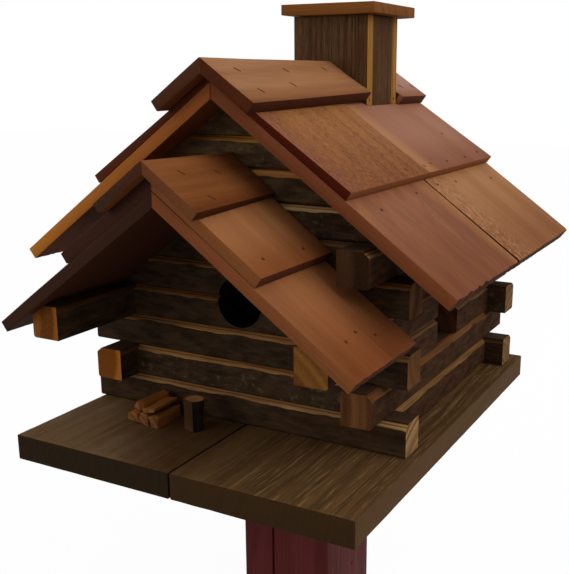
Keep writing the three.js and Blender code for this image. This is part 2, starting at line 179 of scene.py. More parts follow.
# A CAD node is loose triangles. This takes a copy of it, joins them, and makes its flat sides whole.
def merged_copy(node):
    shape = bmesh.new()
    shape.from_mesh(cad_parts[node].data)
    bmesh.ops.remove_doubles(shape, verts=shape.verts, dist=0.001 * MM)
    bmesh.ops.dissolve_limit(shape, angle_limit=radians(0.5), verts=shape.verts, edges=shape.edges)
    return shape


# Cuts every face along a plane. With "clear" it also saws off what lies beyond, and closes the cut.
def cut(shape, point, normal, clear=False):
    parts = shape.verts[:] + shape.edges[:] + shape.faces[:]
    made = bmesh.ops.bisect_plane(shape, geom=parts, dist=1e-7, plane_co=point, plane_no=normal,
                                  clear_outer=clear)
    if clear:
        edges = [part for part in made["geom_cut"] if isinstance(part, bmesh.types.BMEdge)]
        bmesh.ops.edgeloop_fill(shape, edges=edges)
        shape.normal_update()


# Gives a long side enough rows of faces to be bent and worn
def slice_up(shape, axis, step):
    axis = Vector(axis).normalized()
    reach = [v.co.dot(axis) for v in shape.verts]
    low, high = min(reach), max(reach)
    count = max(1, round((high - low) / step))
    for i in range(1, count):
        cut(shape, axis * (low + (high - low) * i / count), axis)


# Wood has no knife edges: those that turn by more than so many degrees are rounded to this width
def ease_edges(shape, width, sharper_than=25):
    edges = [e for e in shape.edges if e.is_manifold and e.calc_face_angle() > radians(sharper_than)]
    bmesh.ops.bevel(shape, geom=edges, offset=width, offset_type="OFFSET", segments=2, profile=0.5,
                    affect="EDGES", clamp_overlap=True, material=-1)


# A piece of wood keeps its own grain coordinates in metres, with the fibres along the first direction. The
# shift sets where in the tree it was sawn. Faces that "sawn" gives a colour become sawn wood of that
# colour, the others keep "bare" as their tone, and "age" says where each point ends up after wear.
def piece_of_wood(shape, name, material, nodes, grain, across, shift, age=None, sawn=None, bare="#6b4a2c",
                  sawn_look=None):
    grain, across = Vector(grain).normalized(), Vector(across).normalized()
    out = grain.cross(across)
    corner = Vector([min(v.co[i] for v in shape.verts) for i in range(3)])
    fibre = shape.verts.layers.float_vector.new("grain")
    for v in shape.verts:
        local = v.co - corner
        v[fibre] = Vector((local.dot(grain), local.dot(across), local.dot(out))) + Vector(shift)
    tone = shape.loops.layers.float_color.new("tone")
    shape.normal_update()
    for face in shape.faces:
        colour = sawn(face) if sawn else None
        face.material_index = 1 if colour else 0
        for loop in face.loops:
            loop[tone] = colour if isinstance(colour, list) else linear(colour or bare)
    if age:
        moved = [age(v) for v in shape.verts]
        for v, place in zip(shape.verts, moved):
            v.co = place
        shape.normal_update()
    for face in shape.faces:
        face.smooth = True
    for edge in shape.edges:
        edge.smooth = edge.is_manifold and edge.calc_face_angle() < SMOOTH_BELOW
    looks = [material, sawn_look or sawn_wood] if sawn else [material]
    made = finished(shape, name, *looks)
    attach(made, "root")
    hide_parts(*nodes)


# The pattern of every wood, on the piece's own grain coordinates: growth rings round the pith, whose
# spacing wanders, and fibres along the grain. Real rings are 1 to 3 mm apart and real fibres under 0.1 mm,
# too fine to show in the render, so both are drawn as coarse as ring_mm and fibre_mm say. It gives the
# material, its tree and the parts of the pattern, of which "weight" is how dark each place is.
def wood_pattern(name, ring_mm, fibre_mm, ring_share, fibre_share, wander_mm=3, fibre_length=22):
    material, tree = new_material(name)
    place = add(tree, "Attribute", {"attribute_name": "grain"}).outputs["Vector"]
    # Rings wander by wander_mm over 38 mm (26 in a metre), and 4.5 times as slowly along the grain
    drawn_out = add(tree, "VectorMath", TIMES, _0=place, _1=(0.22, 1, 1))
    slow = add(tree, "TexNoise", Vector=drawn_out, Scale=26, Detail=2, Roughness=0.5)
    centred = add(tree, "VectorMath", MINUS, _0=slow.outputs["Color"], _1=(0.5, 0.5, 0.5))
    sway = wander_mm * 2 * MM
    bend = add(tree, "VectorMath", TIMES_PLUS, _0=centred, _1=(0, sway, sway), _2=place)
    # A trunk tapers: its rings are very long cones, so a board shows them as narrow arches
    trunk = add(tree, "VectorMath", TIMES, _0=bend, _1=(0.018, 1, 1))
    radius = add(tree, "VectorMath", {"operation": "LENGTH"}, _0=trunk)
    rings = add(tree, "TexNoise", {"noise_dimensions": "1D"}, W=radius, Scale=1000 / ring_mm, Detail=1.5,
                Roughness=0.55)
    ring = add(tree, "MapRange", SOFT, _0=rings, _1=0.38, _2=0.66)
    stretched = add(tree, "VectorMath", TIMES, _0=bend, _1=(1 / fibre_length, 1, 1))
    fibres = add(tree, "TexNoise", Vector=stretched, Scale=1000 / fibre_mm, Detail=3, Roughness=0.6)
    fibre = add(tree, "MapRange", _0=fibres, _1=0.3, _2=0.72)
    weight = add(tree, "Math", TIMES, _0=ring, _1=ring_share)
    weight = add(tree, "Math", {**TIMES_PLUS, "use_clamp": True}, _0=fibre, _1=fibre_share, _2=weight)
    return material, tree, {"place": place, "bend": bend, "drawn_out": drawn_out, "ring": ring, "fibre": fibre,
                            "weight": weight}


# Soft-edged patches, from 0 where the cloud is below "low" to "top" above "high". The scale is how many
# lie in a metre: 1000 divided by the size of one in mm.
def patches(tree, place, scale, low, high, top=1.0, detail=3):
    cloud = add(tree, "TexNoise", Vector=place, Scale=scale, Detail=detail, Roughness=0.6)
    return add(tree, "MapRange", SOFT, _0=cloud, _1=low, _2=high, _4=top)


# Coats of colour, each laid over those before it by its share
def coats(tree, colour, *layers):
    for share, tint in layers:
        colour = add(tree, "Mix", BLEND, _0=share, _6=colour, _7=tint)
    return colour


# The surface that closes every wood material: rougher and lower where the grain is dark, with hardly a gloss
def wood_surface(tree, parts, colour, smooth, rough, relief_mm, specular=0.05):
    height = add(tree, "Math", TIMES_PLUS, _0=parts["fibre"], _1=-0.6, _2=parts["ring"])
    bump = add(tree, "Bump", Strength=0.8, Distance=relief_mm * MM, Height=height)
    gloss = add(tree, "MapRange", _0=parts["weight"], _1=0, _2=1, _3=smooth, _4=rough)
    add(tree, "OutputMaterial", Surface=add(tree, "BsdfPrincipled", Base_Color=colour, Roughness=gloss,
                                            Normal=bump, Specular_IOR_Level=specular))


# Wood that is light and dark by its grain. "tone" is a third colour and its share, in soft patches of 24 mm
# (42 in a metre).
def toned_wood(name, light, dark, ring_mm, fibre_mm, shares, tone, **pattern):
    material, tree, parts = wood_pattern(name, ring_mm, fibre_mm, *shares, **pattern)
    toned = patches(tree, parts["drawn_out"], 42, 0.4, 0.7, tone[1])
    return material, tree, parts, coats(tree, light, (parts["weight"], dark), (toned, tone[0]))


def plain_wood(name, light, dark, ring_mm, fibre_mm, shares, tone, relief_mm, specular=0.05, **pattern):
    material, tree, parts, colour = toned_wood(name, light, dark, ring_mm, fibre_mm, shares, tone, **pattern)
    wood_surface(tree, parts, colour, 0.6, 0.8, relief_mm, specular)
    return material


# Sawn wood, for ends and sawn edges: each face says its own colour, and the late rings are darker
def wood_of_own_tone(name, ring_mm, fibre_mm, ring_share, fibre_share, dark, relief_mm):
    material, tree, parts = wood_pattern(name, ring_mm, fibre_mm, ring_share, fibre_share, wander_mm=1.2)
    own_tone = add(tree, "Attribute", {"attribute_name": "tone"}).outputs["Color"]
    colour = add(tree, "Mix", DARKEN, _0=parts["weight"], _6=own_tone, _7=dark)
    wood_surface(tree, parts, colour, 0.7, 0.85, relief_mm, 0.04)
    return material


# End grain off the saw: rough and open, so it gives the eye clear rings and no gloss at all
sawn_wood = wood_of_own_tone("sawn_wood_end", 2.4, 1.2, 0.7, 0.4, "#a09488", 0.3)
# Brushed oil paint: thin coats that follow the grain, dull, and rubbed to a lighter red in places
paint = plain_wood("red_oil_paint_on_softwood", "#541b19", "#421311", 9, 1.6, (0.25, 0.5), ("#64292a", 0.4),
                   0.25, specular=0.12)

CHECK_WIDTH = 1.2 * MM
CHECK_DEPTH = 3 * MM
CHECK_FROM_SIDE = 32 * MM
post_low, post_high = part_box("post")
check_x = post_low.x + CHECK_FROM_SIDE

shape = merged_copy("post")
slice_up(shape, (0, 0, 1), 6 * MM)
for side in (-1, 0, 1):
    cut(shape, (check_x + side * CHECK_WIDTH, 0, 0), (1, 0, 0))


# The check wanders by 0.8 mm over 33 mm of the post, and is deep only along its middle
def open_check(v):
    if abs(v.co.x - check_x) > CHECK_WIDTH * 1.2:
        return v.co.copy()
    wander = noise.noise(Vector((0, 0, v.co.z * 30))) * 0.8 * MM
    deep = abs(v.co.x - check_x) < CHECK_WIDTH * 0.2 and v.co.y < post_low.y + 1 * MM
    return v.co + Vector((wander, CHECK_DEPTH if deep else 0, 0))


def post_ends(face):
    return "#8a6a48" if abs(face.normal.z) > 0.9 else None


piece_of_wood(shape, "painted_post", paint, ["post"], (0, 0, 1), (1, 0, 0), (0.3, 0.02, 0.31),
              open_check, post_ends)

# ----------------------------------------
# Floor: two rough-sawn softwood boards laid side by side, brown from the weather. Rain has washed
# the soft wood out between the rings, so the right-hand board has pale raised lines. The left-hand one is
# darker under the porch, where shade is painted on it.
LEFT_START = 3.1
RIGHT_START = 8.4
PLANK_EDGE = 0.7 * MM
PLANK_WEAR = 0.45 * MM
WEAR_SIZE = 12 * MM

# Softwood gone brown outdoors: matt and soft, it gives a dull brown with calm wide rings, and bleached
# places of 36 mm (28 in a metre)
left_plank, tree, parts, colour = toned_wood("weathered_plank_left", "#725535", "#4c3721", 9, 1.8, (0.3, 0.4),
                                             ("#7b5f3f", 0.4), wander_mm=6)
bleached = patches(tree, parts["place"], 28, 0.45, 0.62, 0.4)
colour = coats(tree, colour, (bleached, "#786248"))
# Most of it lies under the porch: painted shade darkens it from the front left corner inwards
from_corner = add(tree, "VectorMath", {"operation": "DOT_PRODUCT"}, _0=parts["place"], _1=(0.5, 0.8, 0))
porch_painted_shade = add(tree, "MapRange", SOFT, _0=from_corner, _1=LEFT_START * 0.5 + 76 * MM,
                _2=LEFT_START * 0.5 + 141 * MM)
colour = add(tree, "Mix", DARKEN, _0=porch_painted_shade, _6=colour, _7="#b4a596")
wood_surface(tree, parts, colour, 0.7, 0.85, 0.5, 0.04)

# The same wood where rain reaches it: worn ridges, 2 mm wide (480 in a metre) and 25 times as long, give
# pale lines over the dark hollows. They are most worn towards the outer side of the board.
right_plank, tree, parts = wood_pattern("weathered_plank_with_raised_grain", 6, 1.1, 0.3, 0.55, wander_mm=6)
streaks = add(tree, "VectorMath", TIMES, _0=parts["bend"], _1=(0.04, 1, 1))
raised = patches(tree, streaks, 480, 0.57, 0.66, detail=2)
from_seam = add(tree, "SeparateXYZ", _0=parts["place"])
worn = add(tree, "MapRange", SOFT, _0=from_seam.outputs["Y"], _1=45 * MM, _2=85 * MM, _3=0.15, _4=0.7)
ridges = add(tree, "Math", TIMES, _0=raised, _1=worn)
colour = coats(tree, "#674a2b", (parts["weight"], "#372615"), (ridges, "#84693f"))
wood_surface(tree, parts, colour, 0.7, 0.85, 0.6, 0.04)

# The sawn edge along a board: the saw smears the rings, so it gives fine fibres and hardly a ring
board_edge = wood_of_own_tone("sawn_board_edge", 2.4, 0.9, 0.1, 0.3, "#b5a799", 0.12)


# Wears a surface down by up to "depth", in hollows of "cell" and others a third as wide
def worn_down(depth, cell, seed):
    offset = Vector((seed, seed * 1.7, seed * 0.3))

    def moved(v):
        pull = noise.noise(v.co / cell + offset) * 0.6 + noise.noise(v.co / (cell * 0.3) + offset) * 0.4
        return v.co - v.normal * depth * (0.5 + 0.5 * pull)
    return moved


floor_seam = (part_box("floor_left")[1].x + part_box("floor_right")[0].x) / 2


# Sawn ends and sides; the sides where the boards meet are painted near black, as painted shade in the seam
def plank_ends(face):
    if abs(face.normal.y) > 0.8:
        return "#291d11" if face.calc_center_median().x < floor_seam else "#3a2814"
    if abs(face.normal.x) > 0.8:
        return "#1c130a" if abs(face.calc_center_median().x - floor_seam) < 3 * MM else "#5c432a"
    return None


for node, material, start in (("floor_left", left_plank, LEFT_START), ("floor_right", right_plank, RIGHT_START)):
    shape = merged_copy(node)
    ease_edges(shape, PLANK_EDGE)
    slice_up(shape, (0, 1, 0), 6 * MM)
    slice_up(shape, (1, 0, 0), 12 * MM)
    shape.normal_update()
    piece_of_wood(shape, node + "_plank", material, [node], (0, 1, 0), (1, 0, 0),
                  (start, 0.02, 0.04), worn_down(PLANK_WEAR, WEAR_SIZE, start), plank_ends,
                  sawn_look=board_edge)

# ----------------------------------------
# Log walls: strips of weathered timber stacked and lapped at the corners, and nailed. The outer face keeps
# its dark old skin. The top edge is bare wood, brightest where the skin has torn away along it.
log_low, log_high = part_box("front_log_1")
LOG_THICKNESS = log_high.y - log_low.y
LOG_HEIGHT = log_high.z - log_low.z
GABLE_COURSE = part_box("front_log_8")[0].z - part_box("front_log_7")[0].z
SKIN_TOP = LOG_HEIGHT - 4.8 * MM
LOG_STEP = 3.5 * MM
LOG_ROW = 5 * MM
# A few logs are bare further down, and bright up to their tops
WIDE_BAND = 2.4 * MM
WIDE_BAND_RISE = 0.33
WIDE_BAND_LOGS = ("right_log_1", "right_log_2", "front_log_8")
# On two the skin ends in a straighter line
STRAIGHT_SHARE = 0.3
STRAIGHT_LOGS = ("right_log_1", "right_log_2")
LICHEN_LOGS = ("front_log_2", "front_log_7", "back_log_3")
# Gable logs under the roof, whose skin is painted paler as painted light against the roof's shade
GABLE_LOGS_PAINTED_PALER = ("front_log_8", "front_log_9")


# "section" holds a point's way in from the nearer end of the log, its height in it, and its depth behind
# the outer face, in metres.
def log_wood(name, skin_light, skin_dark, lichen):
    material, tree, parts = wood_pattern(name, 4, 1.6, 0.4, 0.5)
    section = add(tree, "Attribute", {"attribute_name": "section"}).outputs["Vector"]
    level = add(tree, "SeparateXYZ", _0=section).outputs

    # Bare wood in the log's own tone, browner in patches of 17 mm (60 in a metre)
    tone = add(tree, "Attribute", {"attribute_name": "tone"}).outputs["Color"]
    bare = add(tree, "Mix", DARKEN, _0=parts["weight"], _6=tone, _7="#a08c7c")
    brown = patches(tree, parts["drawn_out"], 60, 0.42, 0.62, 0.4, detail=2)
    bare = add(tree, "Mix", DARKEN, _0=brown, _6=bare, _7="#b08c74")
    # It dulls towards the top, but for one bright line 1.5 mm below it
    upper = add(tree, "MapRange", _0=level["Y"], _1=SKIN_TOP + 1.7 * MM, _2=SKIN_TOP + 2.7 * MM)
    dulled = add(tree, "Mix", DARKEN, _0=upper, _6=bare, _7="#a07860")
    past_line = add(tree, "Math", MINUS, _0=level["Y"], _1=LOG_HEIGHT - 1.5 * MM)
    off_line = add(tree, "Math", {"operation": "ABSOLUTE"}, _0=past_line)
    line = add(tree, "MapRange", _0=off_line, _1=0.3 * MM, _2=0.7 * MM, _3=0.8, _4=0)
    # Painted shadow darkens the seam under the next log, and the faces that lie flat are grey brown
    facing = add(tree, "SeparateXYZ", _0=add(tree, "NewGeometry").outputs["Normal"])
    upright = add(tree, "MapRange", _0=facing.outputs["Z"], _1=0.8, _2=0.95, _3=1, _4=0)
    rim = add(tree, "MapRange", _0=level["Y"], _1=LOG_HEIGHT - 0.9 * MM, _2=LOG_HEIGHT - 0.4 * MM)
    painted_joint_shadow = add(tree, "Math", TIMES, _0=upright, _1=rim)
    lying = add(tree, "Math", MINUS, _0=1, _1=upright)
    grey_brown = coats(tree, "#493626", (parts["weight"], "#2e2015"))
    bare = coats(tree, dulled, (line, bare), (painted_joint_shadow, "#24130a"), (lying, grey_brown))

    # The skin has scales of 5 mm (190 in a metre), three times as long, with brown stains of 18 mm (55)
    # and, on some logs, lichen in spots of 7 mm (150)
    drawn = add(tree, "VectorMath", TIMES, _0=parts["place"], _1=(0.3, 1, 1))
    scales = patches(tree, drawn, 190, 0.3, 0.74, detail=5)
    stains = patches(tree, parts["drawn_out"], 55, 0.5, 0.7, 0.4)
    spots = patches(tree, parts["place"], 150, 0.55, 0.74, lichen)
    skin = coats(tree, skin_dark, (scales, skin_light), (stains, "#46301c"), (spots, "#6a6450"))
    # Its torn edge wanders up and down by 1.3 mm, in tongues 21 mm wide and 30 mm long (240 in a metre,
    # times 0.2 and 0.14), and it lies only on the outer and inner faces
    tongues = add(tree, "VectorMath", TIMES, _0=parts["place"], _1=(0.14, 0.2, 0.2))
    ragged = add(tree, "TexNoise", Vector=tongues, Scale=240, Detail=3, Roughness=0.55)
    border = add(tree, "MapRange", _0=ragged, _1=0.25, _2=0.75, _3=-1.3 * MM, _4=1.3 * MM)
    lowered = add(tree, "Math", PLUS, _0=level["Y"], _1=border)
    covered = add(tree, "MapRange", _0=lowered, _1=SKIN_TOP, _2=SKIN_TOP + 0.4 * MM, _3=1, _4=0)
    off_middle = add(tree, "Math", MINUS, _0=level["Z"], _1=LOG_THICKNESS / 2)
    inside = add(tree, "Math", {"operation": "ABSOLUTE"}, _0=off_middle)
    outer = add(tree, "MapRange", _0=inside, _1=LOG_THICKNESS / 2 - 2.2 * MM, _2=LOG_THICKNESS / 2 - 1.5 * MM)
    mask = add(tree, "Math", TIMES, _0=covered, _1=outer)
    wood_surface(tree, parts, coats(tree, bare, (mask, skin)), 0.8, 0.92, 0.5, 0.04)
    return material


# Softwood strips with the old skin on, which years outdoors have turned nearly black: dead matt, they give
# the eye dark scaly bands between pale torn ones. Redder on the side with the window, and with more lichen
# on the logs that stay damp. Under the roof the skin is painted paler, as painted light against the roof's shade,
# and has some lichen.
dark_log = log_wood("weathered_log_with_old_skin", "#463423", "#271c12", 0)
reddish_log = log_wood("weathered_log_with_reddish_skin", "#4f3420", "#2c1b10", 0)
gable_log_painted_paler = log_wood("weathered_log_painted_paler_under_the_roof", "#5a452f", "#36281a", 0.3)
lichen_log = log_wood("weathered_log_with_lichen", "#4b3826", "#2b1f14", 0.5)

OUTWARD = {"front": Vector((0, -1, 0)), "back": Vector((0, 1, 0)), "right": Vector((1, 0, 0)),
           "left": Vector((-1, 0, 0))}
OLD_END = "#8a6a40"
# Colours of each log that shows its own: bare upper edge, then its front or left end, then the other end
LOG_COLOURS = {
    "front_log_1": ("#bb9360", OLD_END, "#a88156"),
    "front_log_2": ("#b88c54", OLD_END, OLD_END),
    "front_log_3": ("#a87c4a", "#7a5a38", "#6d4722"),
    "front_log_4": ("#966c40", "#7a5a38", "#7a5a38"),
    "front_log_5": ("#946a3c", "#7a5a38", "#6b4422"),
    "front_log_7": ("#d2b07c", OLD_END, OLD_END),
    "front_log_8": ("#d89c58", OLD_END, OLD_END),
    "front_log_9": ("#b0803c", OLD_END, OLD_END),
    "left_log_2": ("#7a5a36", "#b4702a", OLD_END),
    # The bare wood of left_log_4 and left_log_6, which run into the porch, is painted darker as painted shade
    "left_log_4": ("#5a3c22", "#945b26", OLD_END),
    "left_log_6": ("#5a3c22", "#3a2a1c", OLD_END),
    "right_log_1": ("#9c7848", OLD_END, OLD_END),
    "right_log_2": ("#8a5e36", "#7f5432", "#846444"),
    "right_log_3_front": ("#8a6a44", OLD_END, "#7a5030"),
    "right_log_3_back": ("#8a6a44", "#623a26", OLD_END),
    "right_log_4_front": ("#a07a50", "#8f5e2b", "#5a3020"),
    "right_log_4_back": ("#8a6238", "#623a26", "#9a7448"),
    "right_log_6": ("#9a7448", "#4c3420", "#a87c4c"),
}
LOG_COLOUR_ELSE = ("#7a5a38", "#8f6c44", "#8f6c44")

# Middle of the entrance hole, halfway through the front wall
ENTRANCE_RADIUS = 20.65 * MM
entrance = Vector((-2.5, -96, 320.5)) * MM


# Where the pith of the tree lay, up and outwards from a log's lower corner
def log_pith(node, seed):
    if node in ("right_log_2", "right_log_6"):
        return -0.012, 0.07
    if node in ("front_log_1", "right_log_4_front"):
        return 0.045, 0.045
    return 0.03 * sin(seed * 2.3), 0.045 * cos(seed * 1.9)


def lay_log(node, material, seed):
    outward = OUTWARD[node.split("_")[0]]
    along = Vector((1, 0, 0)) if abs(outward.y) > 0.5 else Vector((0, 1, 0))
    low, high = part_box(node)
    face = max(low.dot(outward), high.dot(outward))
    start, stop = low.dot(along), high.dot(along)
    shape = merged_copy(node)
    slice_up(shape, along, LOG_STEP)
    slice_up(shape, (0, 0, 1), LOG_ROW)
    section = shape.verts.layers.float_vector.new("section")
    # The top log of a gable is two courses in one piece
    course_top = low.z + GABLE_COURSE if node.endswith("_9") else high.z
    for v in shape.verts:
        reach = v.co.dot(along)
        level = v.co.z - course_top + (LOG_HEIGHT if v.co.z < course_top + 0.1 * MM else 0)
        if node in WIDE_BAND_LOGS and level > SKIN_TOP - WIDE_BAND:
            level = SKIN_TOP + (level - SKIN_TOP + WIDE_BAND) * WIDE_BAND_RISE
        v[section] = Vector((min(reach - start, stop - reach), level, face - v.co.dot(outward)))
    shift = Vector((seed * 3.1, seed * 1.3, seed * 2.7))
    bare, near_end, far_end = LOG_COLOURS.get(node, LOG_COLOUR_ELSE)

    # Near the outer face, the skin's edge rises and falls over 30 and 9 mm, and the face has hollows of 14
    # and 5 mm. The ends stay as sawn.
    def hew(v):
        reach, level, depth = v[section]
        place = v.co.copy()
        if depth < 6 * MM and reach > 0.05 * MM:
            run = v.co.dot(along)
            ragged = noise.noise(Vector((run / (30 * MM), seed, 0)) + shift) * 1.1
            ragged += noise.noise(Vector((run / (9 * MM), seed, 5)) + shift) * 0.25
            near = max(0, 1 - abs(level - SKIN_TOP) / (2.5 * MM))
            place.z += ragged * near * (STRAIGHT_SHARE if node in STRAIGHT_LOGS else 1) * MM
            if depth < 2 * MM and 1 * MM < level < 23 * MM:
                hollow = noise.noise(v.co / (14 * MM) + shift) * 0.35
                hollow += noise.noise(v.co / (5 * MM) + shift) * 0.25
                place -= outward * (0.3 + hollow * 0.6) * MM
        return place

    # Ends are sawn wood. The bore of the entrance is painted near black, as painted shade inside the hole.
    def log_ends(face):
        across = face.normal.dot(along)
        bore = (face.calc_center_median() - entrance).length < ENTRANCE_RADIUS + LOG_THICKNESS / 4
        if bore and abs(face.normal.dot(outward)) < 0.5:
            return "#1d1009"
        if abs(across) < 0.9:
            return None
        return far_end if across > 0 else near_end

    piece_of_wood(shape, node + "_timber", material, [node], along, (0, 0, 1),
                  (seed * 0.71, *log_pith(node, seed)), hew, log_ends, bare)


for index, node in enumerate(sorted(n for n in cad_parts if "_log_" in n)):
    skin = reddish_log if node.startswith("right_log") else dark_log
    if node in LICHEN_LOGS:
        skin = lichen_log
    if node in GABLE_LOGS_PAINTED_PALER:
        skin = gable_log_painted_paler
    lay_log(node, skin, 1 + index * 1.37)

# ----------------------------------------
# Main roof: cedar boards in three courses. The grain runs down the slope on the base and middle courses
# and along the ridge on the cap. Sawn by hand: eaves torn, seams that open downwards, one cap askew.
PITCH = radians(35.92)
WALL_FRONT = log_low.y
RIDGE_X = (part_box("roof_base_left_front")[0].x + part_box("roof_base_right_front")[1].x) / 2
DOWN = {"right": Vector((cos(PITCH), 0, -sin(PITCH))), "left": Vector((-cos(PITCH), 0, -sin(PITCH)))}
UP = {"right": Vector((sin(PITCH), 0, cos(PITCH))), "left": Vector((-sin(PITCH), 0, cos(PITCH)))}
TURN_FLAT = {"rotation_type": "Z_AXIS"}


# "spread" holds a point's shares of the way down the slope, back and up through the board. Damp darkens a
# board from "damp_from" down to its eave. "clouds" and "flecks" are a colour and its share, "band" a colour
# and its share along one side, where the way back runs from the first to the second number, and "curl" how
# far from the front side the grain swirls.
def cedar(name, light, dark, ring_mm, fibre_mm, shares, tone, relief_mm, flecks=None, band=None, curl=0,
          damp_from=0.6, clouds=None):
    material, tree, parts, colour = toned_wood(name, light, dark, ring_mm, fibre_mm, shares, tone, wander_mm=4)
    spread = add(tree, "Attribute", {"attribute_name": "spread"}).outputs["Vector"]
    way = add(tree, "SeparateXYZ", _0=spread).outputs
    damp = add(tree, "MapRange", SOFT, _0=way["X"], _1=damp_from, _2=1, _4=0.8)
    colour = add(tree, "Mix", DARKEN, _0=damp, _6=colour, _7="#c6a883")
    if band:
        edge = add(tree, "MapRange", SOFT, _0=way["Y"], _1=band[2], _2=band[3], _4=band[1])
        colour = coats(tree, colour, (edge, band[0]))
    if clouds:
        # 17 mm across (60 in a metre) and 2.5 times as long, aslant of the grain
        slanting = add(tree, "VectorRotate", TURN_FLAT, Vector=parts["place"], Angle=radians(35))
        broad = add(tree, "VectorMath", TIMES, _0=slanting, _1=(0.4, 1, 1))
        colour = coats(tree, colour, (patches(tree, broad, 60, 0.45, 0.68, clouds[1]), clouds[0]))
    if flecks:
        # Torn pores are 0.5 mm wide, too fine to show: dark flecks and pale ones between, both of 2 mm
        # (500 and 460 in a metre) and twice as long
        short = add(tree, "VectorMath", TIMES, _0=parts["place"], _1=(0.5, 1, 1))
        flecked = patches(tree, short, 500, 0.54, 0.64, flecks[1])
        beside = add(tree, "VectorMath", PLUS, _0=short, _1=(0, 0.4, 0))
        between = patches(tree, beside, 460, 0.5, 0.66, 0.5)
        colour = coats(tree, colour, (flecked, flecks[0]), (between, light))
    if curl:
        # Dark and pale strokes 2 mm wide (450 in a metre) and 3 times as long, at 22 degrees to the grain
        turned = add(tree, "VectorRotate", TURN_FLAT, Vector=parts["bend"], Angle=radians(22))
        strokes = add(tree, "VectorMath", TIMES, _0=turned, _1=(0.34, 1, 1))
        near = add(tree, "MapRange", SOFT, _0=way["Y"], _1=curl, _2=curl / 4)
        for offset, tint in ((0, "#6a4028"), (0.3, "#b08058")):
            apart = add(tree, "VectorMath", PLUS, _0=strokes, _1=(0, offset, 0))
            stroke = patches(tree, apart, 450, 0.48, 0.64, 0.75, detail=2)
            colour = coats(tree, colour, (add(tree, "Math", TIMES, _0=near, _1=stroke), tint))
    wood_surface(tree, parts, colour, 0.55, 0.75, relief_mm)
    return material


# Western red cedar, sawn and left bare: a dry satin face that gives pinkish brown with long quiet bands.
# Each course has its own board: pink heartwood, a curly one, a rough-sawn one full of flecks, and paler
# ones behind.
cedar_pink = cedar("western_cedar_heartwood", "#976241", "#70432a", 16, 2.6, (0.16, 0.3), ("#7c4a33", 0.7), 0.2,
                   band=("#a8713c", 0.5, 0.82, 0.99), clouds=("#6f4029", 0.4), damp_from=0.5)
cedar_curly = cedar("western_cedar_curly_figure", "#a27145", "#885935", 18, 2, (0.3, 0.35), ("#9c6a40", 0.4), 0.3,
                    curl=0.34)
cedar_speckled = cedar("western_cedar_rough_sawn", "#a06a3b", "#744526", 9, 2, (0.3, 0.4), ("#875332", 0.5), 0.3,
                       flecks=("#52280f", 0.65), band=("#7d4c38", 0.6, 0.26, 0.02), damp_from=0.4)
cedar_rear = cedar("western_cedar_pale_edge", "#9c6a50", "#8a5a43", 18, 2.4, (0.3, 0.3), ("#966650", 0.4), 0.15,
                   band=("#ad7a4c", 0.6, 0.18, 0.05))
cedar_rear_cap = cedar("western_cedar_pale_cap", "#ac7d68", "#99705c", 18, 2.4, (0.3, 0.3), ("#a3745f", 0.4),
                       0.15)
cedar_cap = cedar("western_cedar_ridge_cap", "#9d6f48", "#7e5030", 9, 2.2, (0.35, 0.4), ("#a8724a", 0.3), 0.2)

BOARD_EDGE = 0.5 * MM
# A torn eave is ragged up to 4 mm in, in bites of 4.5 and 2.1 mm
TORN_CUTS = (1.2 * MM, 3.2 * MM)
TORN_BACK = 4 * MM
TORN_STEP = 2 * MM
BOARD_WARP = 0.3 * MM
WARP_LENGTH = 60 * MM


